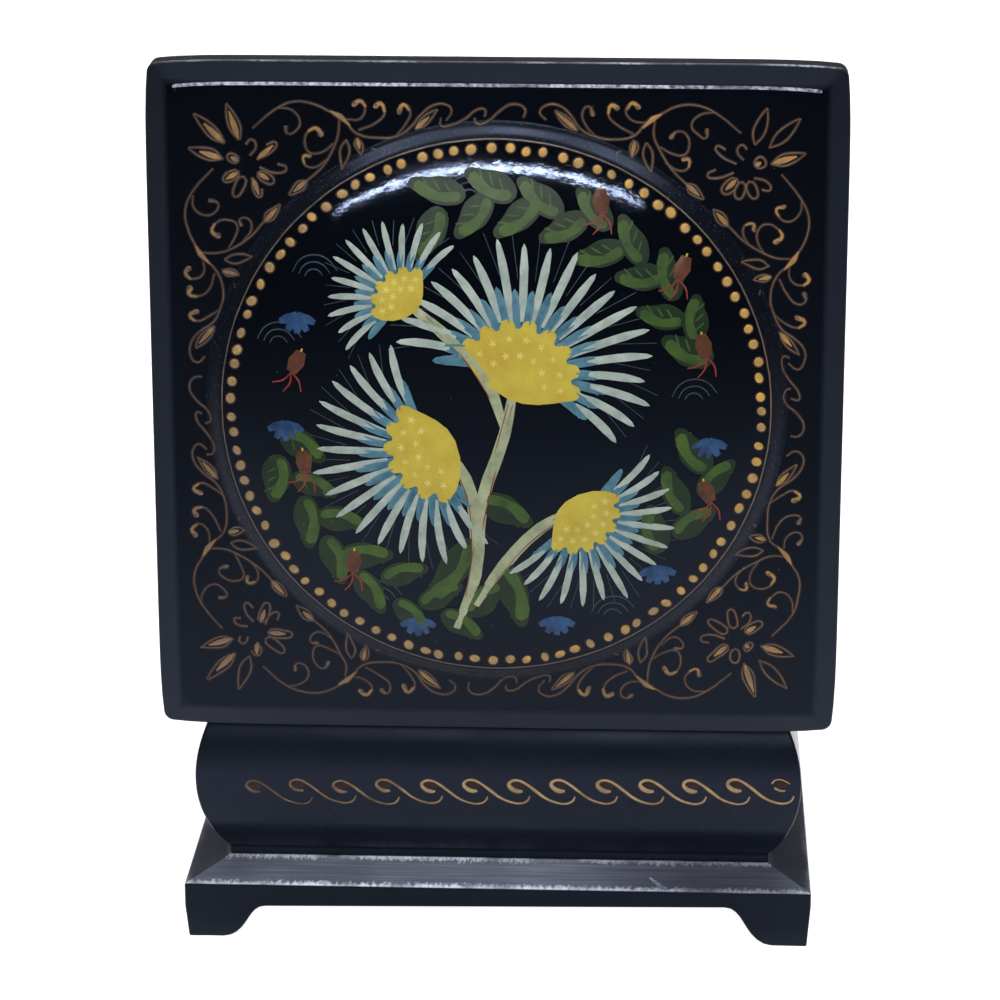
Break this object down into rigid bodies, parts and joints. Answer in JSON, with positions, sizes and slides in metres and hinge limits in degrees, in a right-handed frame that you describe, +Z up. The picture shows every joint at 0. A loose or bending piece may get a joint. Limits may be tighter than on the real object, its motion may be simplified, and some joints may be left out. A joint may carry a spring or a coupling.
{
  "type": "lacquer trinket box",
  "caption": "Square black lacquer trinket box with convex walls on a footed plinth and a domed lid hinged at the back, standing open.",
  "frame": {"origin": "centre of the part's footprint, lid open, on the surface the feet stand on", "axes": "+Z up, +X along the hinge, -Y from the box towards its hinge side and the painted face of the open lid"},
  "size_m": [0.106, 0.107, 0.1427],
  "materials": {
    "plinth_lacquer": "black gloss lacquer on wood, brushed",
    "body_lacquer": "black gloss lacquer on wood, with a gold line band",
    "lid_lacquer": "black gloss lacquer on wood, painted and gilded",
    "hinge_brass": "dull brass"
  },
  "bodies": {
    "box": {"plinth": "plinth_lacquer", "box_body": "body_lacquer", "hinge_leaf_body": "hinge_brass", "hinge_pin": "hinge_brass"},
    "lid": {"lid": "lid_lacquer", "hinge_leaf_lid": "hinge_brass"}
  },
  "joints": [
    {"name": "lid_hinge", "type": "hinge", "parent": "box", "child": "lid", "pos_m": [0, -0.0425, 0.0437], "axis": [1, 0, 0], "range_deg": [-90, 0]}
  ]
}
